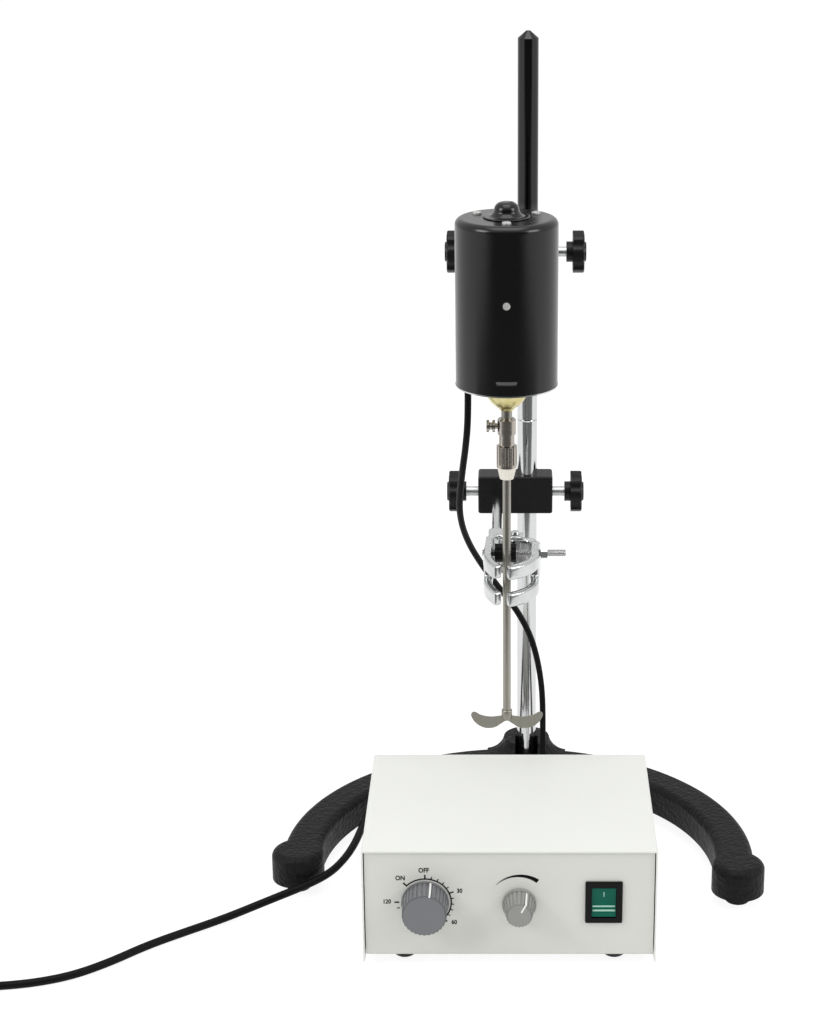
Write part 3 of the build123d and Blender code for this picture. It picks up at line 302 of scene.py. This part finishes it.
tube = bpy.data.meshes.new_from_object(lead_route.evaluated_get(bpy.context.evaluated_depsgraph_get()))
bpy.data.objects.remove(lead_route)
motor_lead = bpy.data.objects.new("motor_lead_cord", tube)
bpy.context.collection.objects.link(motor_lead)
motor_lead.data.materials.append(cord_skin)
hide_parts("motor_lead", "motor_lead_lower")
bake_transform(motor_lead)


def dress(material, *names):
    """Gives CAD nodes their material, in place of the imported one."""
    for name in names:
        piece = nodes[name]
        piece.data.materials.clear()
        piece.data.materials.append(material)


# Cast stand
# The horseshoe is a sand casting under a black crinkle paint, thick enough to look like leather.
# The paint shines a little on its ridges. The boss heads and motor bracket get a smoother black paint.
crinkle, place, shader = finish("crinkle_paint", (0.008, 0.008, 0.0085), 0.5, shine=0.16)
cells = place.node("ShaderNodeTexVoronoi", settings={"feature": "SMOOTH_F1"}, Vector=place, Scale=330.0)
waves_and_sheen = noise(place, 210, 4, 0.6)
ridges = 0.65 * cells + 0.6 * waves_and_sheen
# Painted sheen: the paint's colour is lighter where the waves rise, on the raised crinkle.
feed(shader, "Base Color", waves_and_sheen.above(0.5, 0.25).mix((0.0025, 0.0025, 0.003, 1), (0.010, 0.010, 0.0105, 1)))
feed(shader, "Roughness", 0.36 + 0.3 * waves_and_sheen)
bump(place, shader, ridges, 0.0014, 0.9)
dress(crinkle, "base_casting")

block_paint, place, shader = finish("boss_paint", (0.006, 0.006, 0.0065), 0.38, shine=0.22)
grain = noise(place, 420, 3)
feed(shader, "Roughness", 0.3 + 0.22 * grain)
bump(place, shader, grain, 0.00025, 0.5)
dress(block_paint, "upper_boss", "lower_boss", "motor_bracket")

# Feet and grommet
# Black moulded rubber with a dull, slightly dusty skin.
rubber, place, shader = finish("black_rubber", (0.008, 0.008, 0.008), 0.6, shine=0.2)
dust = noise(place, 300, 3)
feed(shader, "Roughness", 0.42 + 0.25 * dust)
bump(place, shader, dust, 0.0001, 0.4)
dress(rubber, "base_feet", "case_feet", "lead_grommet")

# Chromed rods
# Ground steel under bright chrome, with the faintest lengthwise grinding and a few dull spots.
chrome, place, shader = finish("bright_chrome", (0.64, 0.645, 0.65), 0.08, 1.0)
grind = noise(stretch(place, 900, 900, 6), 1.0, 4)
spots = noise(place, 60, 4)
feed(shader, "Roughness", 0.06 + 0.06 * grind + 0.05 * spots)
bump(place, shader, grind, 0.00001, 0.3)
dress(chrome, "lower_rod", "motor_arm")

# Upper rod
# Chrome whose colour goes from bright at its joint to dark above the motor, where the dark is a painted
# reflection.
chrome_painted_dark, place, shader = finish("chrome_painted_dark_reflection", (0.045, 0.045, 0.047), 0.12, 1.0)
height = place.node("ShaderNodeSeparateXYZ", 2, Vector=place)
# Painted dark reflection: the chrome's colour darkens with height round the motor.
painted_dark_reflection = height.above(450 * MM, 50 * MM)
feed(shader, "Base Color", painted_dark_reflection.mix((0.64, 0.645, 0.65, 1), (0.045, 0.045, 0.047, 1)))
grind = noise(stretch(place, 900, 900, 6), 1.0, 4)
feed(shader, "Roughness", 0.1 + 0.08 * grind)
bump(place, shader, grind, 0.00001, 0.3)
dress(chrome_painted_dark, "upper_rod")

# Motor shell
# A drawn steel can in gloss black enamel, with a slight orange peel under its clear shine.
enamel, place, shader = finish("black_enamel", (0.003, 0.003, 0.0032), 0.2, shine=0.45)
peel = noise(place, 260, 2, 0.4)
feed(shader, "Roughness", 0.17 + 0.08 * noise(place, 45, 3))
bump(place, shader, peel, 0.00006, 0.35)
dress(enamel, "motor_cap")

# Bright zinc
# Electroplated steel of the flask clamp, screws and plates: bright, with soft cloudy patches.
zinc, place, shader = finish("bright_zinc", (0.62, 0.63, 0.63), 0.18, 1.0)
cloud = noise(place, 55, 4, 0.6)
feed(shader, "Base Color", cloud.above(0.5, 0.3).mix((0.52, 0.53, 0.53, 1), (0.70, 0.71, 0.71, 1)))
feed(shader, "Roughness", 0.12 + 0.14 * cloud)
bump(place, shader, noise(place, 420, 3), 0.00006, 0.5)
dress(zinc, "clamp_rod", "clamp_pin", "clamp_nut", "motor_base_plate")

# Screws and end frame
# Zinc that has gone dull and pale, so that it also shows against the black shell.
dull_zinc, place, shader = finish("dull_zinc", (0.50, 0.50, 0.49), 0.4, 0.35)
patina = noise(place, 320, 3)
feed(shader, "Base Color", patina.above(0.5, 0.3).mix((0.40, 0.40, 0.39, 1), (0.60, 0.60, 0.59, 1)))
feed(shader, "Roughness", 0.32 + 0.2 * patina)
bump(place, shader, patina, 0.00008, 0.4)
dress(dull_zinc, "cover_screws", "case_screws", "end_frame")


def soften(node, body, material, grain_size, passes):
    """A merged copy of a casting with its edges run round, which stands for the CAD node."""
    made = bpy.data.objects.new(node + "_cast", nodes[node].data.copy())
    bpy.context.collection.objects.link(made)
    bpy.ops.object.select_all(action="DESELECT")
    made.select_set(True)
    bpy.context.view_layer.objects.active = made
    bpy.ops.object.mode_set(mode="EDIT")
    bpy.ops.mesh.select_all(action="SELECT")
    bpy.ops.mesh.remove_doubles(threshold=0.00001)
    bpy.ops.object.mode_set(mode="OBJECT")
    skin = made.modifiers.new("skin", "REMESH")
    skin.mode = "VOXEL"
    skin.voxel_size = grain_size * MM
    bpy.ops.object.modifier_apply(modifier=skin.name)
    run = made.modifiers.new("run", "SMOOTH")
    run.factor = 0.5
    run.iterations = passes
    bpy.ops.object.modifier_apply(modifier=run.name)
    bpy.ops.object.shade_smooth()
    made.data.materials.clear()
    made.data.materials.append(material)
    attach(made, body)
    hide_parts(node)


# Flask clamp jaws
# Die-cast jaws with rounded fingers, plated with the same bright zinc.
soften("clamp_fixed_jaw", "flask_clamp", zinc, 0.6, 60)
soften("clamp_moving_jaw", "moving_jaw", zinc, 0.6, 60)

# Motor's top cap
# The round rubber-like dome and its flared skirt are one moulding, with no sharp edge.
soften("top_dome", "motor_carriage", enamel, 0.5, 30)

# Threaded stud
# The same zinc on a rolled thread, whose flanks run round it at every turn. Its colour darkens and brightens
# with every turn, a painted shade and painted highlight on the flanks.
thread, place, shader = finish("zinc_thread_painted_shade", (0.66, 0.67, 0.67), 0.26, 1.0)
thread_pitch = 0.8
along = place.node("ShaderNodeSeparateXYZ", 0, Vector=place)
phase = along * (2 * pi / (thread_pitch * MM))
flank_relief_and_shade = phase.math("SINE", phase)
# Painted shade and painted highlight: the colour goes from dark to bright across each turn of the thread.
feed(shader, "Base Color", flank_relief_and_shade.above(0.0, 0.9).mix((0.30, 0.30, 0.30, 1), (0.74, 0.75, 0.75, 1)))
bump(place, shader, flank_relief_and_shade, 0.0002, 0.8)
dress(thread, "clamp_stud")

# Passivated flange
# Zinc with a yellow chromate film, which turns from straw to pink across the dish.
passivate, place, shader = finish("yellow_zinc", (0.60, 0.50, 0.22), 0.22, 1.0)
film = noise(place, 70, 3)
feed(shader, "Base Color", film.above(0.5, 0.22).mix((0.52, 0.42, 0.13, 1), (0.72, 0.66, 0.36, 1)))
feed(shader, "Roughness", 0.2 + 0.14 * film)
dress(passivate, "motor_flange")

# Nickelled chuck
# Turned brass under dull nickel, with fine turning marks round the axis.
nickel, place, shader = finish("dull_nickel", (0.43, 0.39, 0.35), 0.22, 1.0)
turning = noise(stretch(place, 20, 20, 800), 1.0, 2)
feed(shader, "Base Color", turning.above(0.5, 0.45).mix((0.40, 0.37, 0.33, 1), (0.47, 0.435, 0.395, 1)))
feed(shader, "Roughness", 0.16 + 0.12 * turning)
bump(place, shader, turning, 0.00002, 0.3)
dress(nickel, "chuck_body", "chuck_nut", "collar_screw", "plug_pins", "motor_bearings")

# Stainless shaft and blade
# Centreless ground rod and a blanked, tumbled blade, both warm grey.
stainless, place, shader = finish("warm_stainless", (0.36, 0.345, 0.30), 0.3, 1.0)
drawn = noise(stretch(place, 1300, 1300, 14), 1.0, 4)
feed(shader, "Base Color", drawn.above(0.5, 0.35).mix((0.28, 0.27, 0.235, 1), (0.42, 0.405, 0.36, 1)))
feed(shader, "Roughness", 0.26 + 0.16 * drawn)
bump(place, shader, drawn, 0.00003, 0.4)
dress(stainless, "stirring_rod", "motor_shaft")

# Blade
# One blanked plate with two deep lobes and upswept tips, whose edges are rounded by tumbling.
# A short bush is welded round the end of the rod.
def settle(name, body, material):
    """Applies an object's place to its mesh, gives it its finish and hangs it on a body."""
    made = bpy.context.object
    made.name = name
    bpy.ops.object.transform_apply(location=True, rotation=True, scale=True)
    made.data.materials.clear()
    made.data.materials.append(material)
    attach(made, body)
    return made


blade_t, blank_edge = 1.3, 0.2
bush_d, bush_h, bush_mid = 8.2, 6.5, 3.0
blade_low, blade_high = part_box("stirring_blade")
blade_x, blade_y = (blade_low.x + blade_high.x) / 2, (blade_low.y + blade_high.y) / 2
rod_end = blade_low.z + 9.1 * MM
half_outline = [(0, -3.0), (3.8, -5.0), (8.5, -8.1), (13.6, -9.1), (18.2, -8.3), (22.9, -5.4), (26.3, -0.8),
                (27.0, 2.4), (25.6, 4.1), (19.6, 1.6), (12.7, 0.2), (4.2, 1.0)]
outline = half_outline + [(-x, z) for x, z in reversed(half_outline[1:])]
blank = bpy.data.curves.new("blade_blank", "CURVE")
blank.dimensions = "2D"
blank.fill_mode = "BOTH"
edge_line = blank.splines.new("BEZIER")
edge_line.bezier_points.add(len(outline) - 1)
for knot, (x, z) in zip(edge_line.bezier_points, outline):
    knot.co = (x * MM, z * MM, 0)
    knot.handle_left_type = knot.handle_right_type = "AUTO"
edge_line.use_cyclic_u = True
edge_line.resolution_u = 6
blank.extrude = (blade_t / 2 - blank_edge) * MM
blank.bevel_depth = blank_edge * MM
blank.bevel_resolution = 2
blank.offset = -blank_edge * MM
plate = bpy.data.objects.new("blade_plate", blank)
bpy.context.collection.objects.link(plate)
bpy.ops.object.select_all(action="DESELECT")
plate.select_set(True)
bpy.context.view_layer.objects.active = plate
bpy.ops.object.convert(target="MESH")
plate.rotation_euler = (radians(90), 0, 0)
plate.location = (blade_x, blade_y, rod_end)
settle("blade_plate", "spindle", stainless)
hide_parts("stirring_blade")
bpy.ops.object.select_all(action="DESELECT")
bpy.ops.mesh.primitive_cylinder_add(vertices=48, radius=bush_d / 2 * MM, depth=bush_h * MM,
                                    location=(blade_x, blade_y, rod_end + bush_mid * MM))
weld = bpy.context.object.modifiers.new("weld", "BEVEL")
weld.width = 0.8 * MM
weld.segments = 4
bpy.ops.object.modifier_apply(modifier=weld.name)
bpy.ops.object.shade_smooth_by_angle(angle=radians(40))
settle("blade_bush", "spindle", stainless)

# Nozzle
# Ivory nylon, moulded and a little waxy.
ivory, place, shader = finish("ivory_nylon", (0.80, 0.77, 0.68), 0.45)
feed(shader, "Base Color", noise(place, 120, 3).mix((0.76, 0.72, 0.62, 1), (0.85, 0.82, 0.74, 1)))
bump(place, shader, noise(place, 500, 2), 0.00005, 0.4)
dress(ivory, "chuck_nozzle")

# Hand knobs
# Black moulded star knobs on zinc screws. Only the middle of the screw is bare metal, so the
# finish turns from metal to moulding by the distance from the block.
block_mid = -1.0 * MM
bare_reach = 39.7 * MM
knob, place, shader = finish("knob_moulding", (0.006, 0.006, 0.006), 0.34, shine=0.25)
across = place.node("ShaderNodeSeparateXYZ", 0, Vector=place)
off_middle = across - block_mid
outside = off_middle.math("ABSOLUTE", off_middle).above(bare_reach, 0.02 * MM)
grain = noise(place, 380, 3)
feed(shader, "Metallic", 1 - outside)
feed(shader, "Base Color", outside.mix((0.62, 0.63, 0.63, 1), (0.006, 0.006, 0.0065, 1)))
feed(shader, "Roughness", 0.24 + 0.2 * grain)
bump(place, shader, grain, 0.00012, 0.35)
dress(knob, "upper_rod_knob", "upper_arm_knob", "lower_rod_knob", "lower_arm_knob")

black_plastic, place, shader = finish("black_moulding", (0.004, 0.004, 0.004), 0.36, shine=0.14)
grain = noise(place, 500, 3)
feed(shader, "Roughness", 0.28 + 0.22 * grain)
bump(place, shader, grain, 0.0001, 0.35)
dress(black_plastic, "clamp_wheel", "power_switch", "timer_body", "cord_glands", "plug_body", "brush_holders")

# Inner pieces
# Laminated iron, enamelled copper and the parts on the tray's floor.
laminate, place, shader = finish("laminated_iron", (0.22, 0.22, 0.23), 0.5, 0.8)
sheets = noise(stretch(place, 20, 20, 2400), 1.0, 2)
feed(shader, "Roughness", 0.4 + 0.3 * sheets)
bump(place, shader, sheets, 0.00008, 0.6)
dress(laminate, "stator_core", "armature_core", "transformer", "speed_pot")
copper, place, shader = finish("enamelled_copper", (0.45, 0.17, 0.07), 0.3, 1.0)
strands = noise(stretch(place, 1500, 30, 1500), 1.0, 2)
feed(shader, "Roughness", 0.22 + 0.25 * strands)
bump(place, shader, strands, 0.0001, 0.6)
dress(copper, "field_coils", "commutator")
laminate_board, place, shader = finish("board_green", (0.02, 0.12, 0.05), 0.4)
feed(shader, "Roughness", 0.3 + 0.2 * noise(place, 200, 3))
dress(laminate_board, "control_board")

# Controller case
# Folded sheet steel in off-white stoved paint. The cover wraps the tray, whose front panel
# is set back a little and a shade greyer.
panel_front = -146.7
stove, place, shader = finish("stoved_white", (0.80, 0.81, 0.77), 0.42)
peel = noise(place, 330, 2, 0.4)
feed(shader, "Base Color", noise(place, 9, 3).mix((0.79, 0.80, 0.765, 1), (0.815, 0.825, 0.79, 1)))
feed(shader, "Roughness", 0.36 + 0.12 * noise(place, 25, 3))
bump(place, shader, peel, 0.00008, 0.25)
dress(stove, "case_cover")
panel_paint, place, shader = finish("panel_white", (0.66, 0.67, 0.62), 0.42)
feed(shader, "Base Color", noise(place, 9, 3).mix((0.655, 0.665, 0.62, 1), (0.685, 0.69, 0.65, 1)))
feed(shader, "Roughness", 0.36 + 0.12 * noise(place, 25, 3))
bump(place, shader, noise(place, 330, 2, 0.4), 0.00008, 0.25)
dress(panel_paint, "case_tray")

# Panel printing
# Black ink on the panel: a time scale round the dial and a wedge that grows round the speed
# knob. The scale says OFF, ON and plain numbers.
ink, place, shader = finish("panel_ink", (0.004, 0.004, 0.004), 0.5, shine=0.1)
feed(shader, "Roughness", 0.42 + 0.2 * noise(place, 700, 2))
ink_t = 0.12
timer_x, timer_z = -65.8, 52.4
speed_x, speed_z = 1.3, 51.5
printed = []


def stamp(width, height, x, z, turn=0.0):
    """One rectangular printed mark on the panel, turned clockwise about its own centre."""
    bpy.ops.object.select_all(action="DESELECT")
    bpy.ops.mesh.primitive_plane_add(size=1, location=(x * MM, (panel_front - 0.02) * MM, z * MM),
                                     rotation=(radians(90), 0, 0))
    mark = bpy.context.object
    mark.scale = (width * MM, height * MM, 1)
    mark.rotation_euler = (radians(90), radians(turn), 0)
    printed.append(mark)


scale_r = 18.6
for angle in [-45, 0] + [step * 13.5 for step in range(1, 12)] + [256.5, 270]:
    long = angle in (-45, 0, 67.5, 135, 270)
    size = 3.4 if long else 2.2
    reach = scale_r + size / 2
    stamp(1.05 if long else 0.7, size, timer_x + reach * sin(radians(angle)),
          timer_z + reach * cos(radians(angle)), angle)
for step in range(60):
    angle = -45 + step * 3.1
    stamp(1.0, 1.05, timer_x + scale_r * sin(radians(angle)), timer_z + scale_r * cos(radians(angle)),
          angle + 90)
wedge_r, wedge_from, wedge_to, wedge_steps = 22.0, -47.0, 36.0, 60
for step in range(wedge_steps):
    share = step / (wedge_steps - 1)
    angle = wedge_from + (wedge_to - wedge_from) * share
    thick = 0.25 + 2.9 * share
    stamp(thick, 0.62, speed_x + wedge_r * sin(radians(angle)), speed_z + wedge_r * cos(radians(angle)),
          angle + 90)
bpy.ops.object.select_all(action="DESELECT")
for mark in printed:
    mark.select_set(True)
bpy.context.view_layer.objects.active = printed[0]
bpy.ops.object.join()
bpy.ops.object.transform_apply(location=True, rotation=True, scale=True)
settle("panel_scale", "stand", ink)
scale_mesh = bpy.context.object
wall = scale_mesh.modifiers.new("ink", "SOLIDIFY")
wall.thickness = ink_t * MM
wall.offset = 1
bpy.ops.object.modifier_apply(modifier=wall.name)

for words, x, z, size in (("ON", -83.4, 71.6, 5.0), ("OFF", -66.6, 77.7, 5.0), ("30", -41.2, 61.4, 4.6),
                          ("60", -45.2, 36.2, 4.6), ("120", -93.2, 52.8, 4.6)):
    bpy.ops.object.select_all(action="DESELECT")
    bpy.ops.object.text_add(location=(x * MM, (panel_front - 0.02) * MM, z * MM), rotation=(radians(90), 0, 0))
    label = bpy.context.object
    label.data.body = words
    label.data.size = size * MM
    label.data.align_x = "CENTER"
    label.data.align_y = "CENTER"
    label.data.extrude = ink_t / 2 * MM
    label.data.resolution_u = 4
    label.data.offset = 0.16 * MM
    label.scale.x = 0.86
    bpy.ops.object.convert(target="MESH")
    settle("panel_label_" + words.lower(), "stand", ink)

# Panel knobs
# Grey moulded knobs with ribbed sides and a smooth slightly sunk face, each with a white
# pointer line that runs up its side and on to the face.
def knob_finish(name, colour):
    made, place, shader = finish(name, colour, 0.42)
    grain = noise(place, 420, 3)
    feed(shader, "Roughness", 0.36 + 0.18 * grain)
    bump(place, shader, grain, 0.00008, 0.3)
    return made


dress(knob_finish("timer_knob_grey", (0.165, 0.168, 0.178)), "timer_knob")
dress(knob_finish("speed_knob_grey", (0.275, 0.275, 0.262)), "speed_knob")
pointer_white, place, shader = finish("pointer_white", (0.85, 0.85, 0.84), 0.45)
feed(shader, "Roughness", 0.38 + 0.15 * noise(place, 500, 2))


def pointer(name, body, x, z, base_r, face_r, height, turn, inner_r):
    """White line up a knob's side and across its face, as two thin bevelled bars."""
    line_w = 1.3
    bars = []
    foot = panel_front - 2.6
    face = panel_front - height - 0.6
    side_len = ((foot - face) ** 2 + (base_r - face_r) ** 2) ** 0.5
    lean = (base_r - face_r) / (foot - face)
    for length, y, radius, tilt in ((side_len, (foot + face) / 2, (base_r + face_r) / 2, lean),
                                    (face_r - inner_r, face + 0.02, (face_r + inner_r) / 2, None)):
        bpy.ops.object.select_all(action="DESELECT")
        bpy.ops.mesh.primitive_cube_add(size=1, location=(0, y * MM, radius * MM))
        bar = bpy.context.object
        up_the_side = tilt is not None
        bar.scale = Vector((line_w, length, 0.5) if up_the_side else (line_w, 0.3, length)) * MM
        if up_the_side:
            bar.rotation_euler = (tilt, 0, 0)
        bpy.ops.object.transform_apply(location=False, rotation=False, scale=True)
        edge = bar.modifiers.new("edge", "BEVEL")
        edge.width = 0.12 * MM
        edge.segments = 2
        bpy.ops.object.modifier_apply(modifier=edge.name)
        bars.append(bar)
    bpy.ops.object.select_all(action="DESELECT")
    for bar in bars:
        bar.select_set(True)
    bpy.context.view_layer.objects.active = bars[0]
    bpy.ops.object.transform_apply(location=True, rotation=True, scale=True)
    bpy.ops.object.join()
    made = bpy.context.object
    made.rotation_euler = (0, radians(turn), 0)
    made.location = (x * MM, 0, z * MM)
    return settle(name, body, pointer_white)


pointer("timer_pointer", "timer_dial", timer_x, timer_z, 16.9, 16.5, 19.4, 14.0, 15.0)
pointer("speed_pointer", "speed_dial", speed_x, speed_z, 11.3, 10.0, 17.9, 28.0, 3.0)

# Rocker
# Clear green acetate in a random darker and lighter tone, with a plain bar mark and two raised
# grip ridges on its lower half, which are coloured pale green as a painted highlight.
green, place, shader = finish("green_rocker", (0.003, 0.105, 0.07), 0.16, shine=0.12)
depth = noise(place, 60, 3)
feed(shader, "Base Color", depth.mix((0.0025, 0.090, 0.058, 1), (0.004, 0.13, 0.085, 1)))
feed(shader, "Roughness", 0.12 + 0.12 * noise(place, 200, 3))
dress(green, "power_rocker")
rocker_low, rocker_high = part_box("power_rocker")
# Pale green for the printed bar mark and, on the ridges, a painted highlight.
green_mark_and_highlight, place, shader = finish("rocker_mark_and_painted_highlight", (0.35, 0.62, 0.50), 0.25)
feed(shader, "Roughness", 0.2 + 0.15 * noise(place, 300, 2))
rocker_x, rocker_mid = (rocker_low.x + rocker_high.x) / 2, 52.7
bpy.ops.object.select_all(action="DESELECT")
bpy.ops.mesh.primitive_cube_add(size=1, location=(rocker_x, rocker_low.y + 0.75 * MM, (rocker_mid + 6.2) * MM))
bar_mark = bpy.context.object
bar_mark.scale = (0.6 * MM, 0.3 * MM, 4.2 * MM)
bar_mark.rotation_euler = (radians(8), 0, 0)
settle("rocker_on_mark", "rocker", green_mark_and_highlight)
# The ridges' pale green is a painted highlight across the rocker's lower half.
for index, (drop, y_in) in enumerate(((3.6, 1.35), (6.6, 0.6))):
    bpy.ops.object.select_all(action="DESELECT")
    bpy.ops.mesh.primitive_cube_add(
        size=1, location=(rocker_x, rocker_low.y + y_in * MM, (rocker_mid - drop) * MM))
    ridge = bpy.context.object
    ridge.scale = (16.4 * MM, 1.1 * MM, 1.3 * MM)
    bpy.ops.object.transform_apply(location=False, rotation=False, scale=True)
    edge = ridge.modifiers.new("edge", "BEVEL")
    edge.width = 0.4 * MM
    edge.segments = 3
    bpy.ops.object.modifier_apply(modifier=edge.name)
    settle("rocker_ridge_" + str(index), "rocker", green_mark_and_highlight)
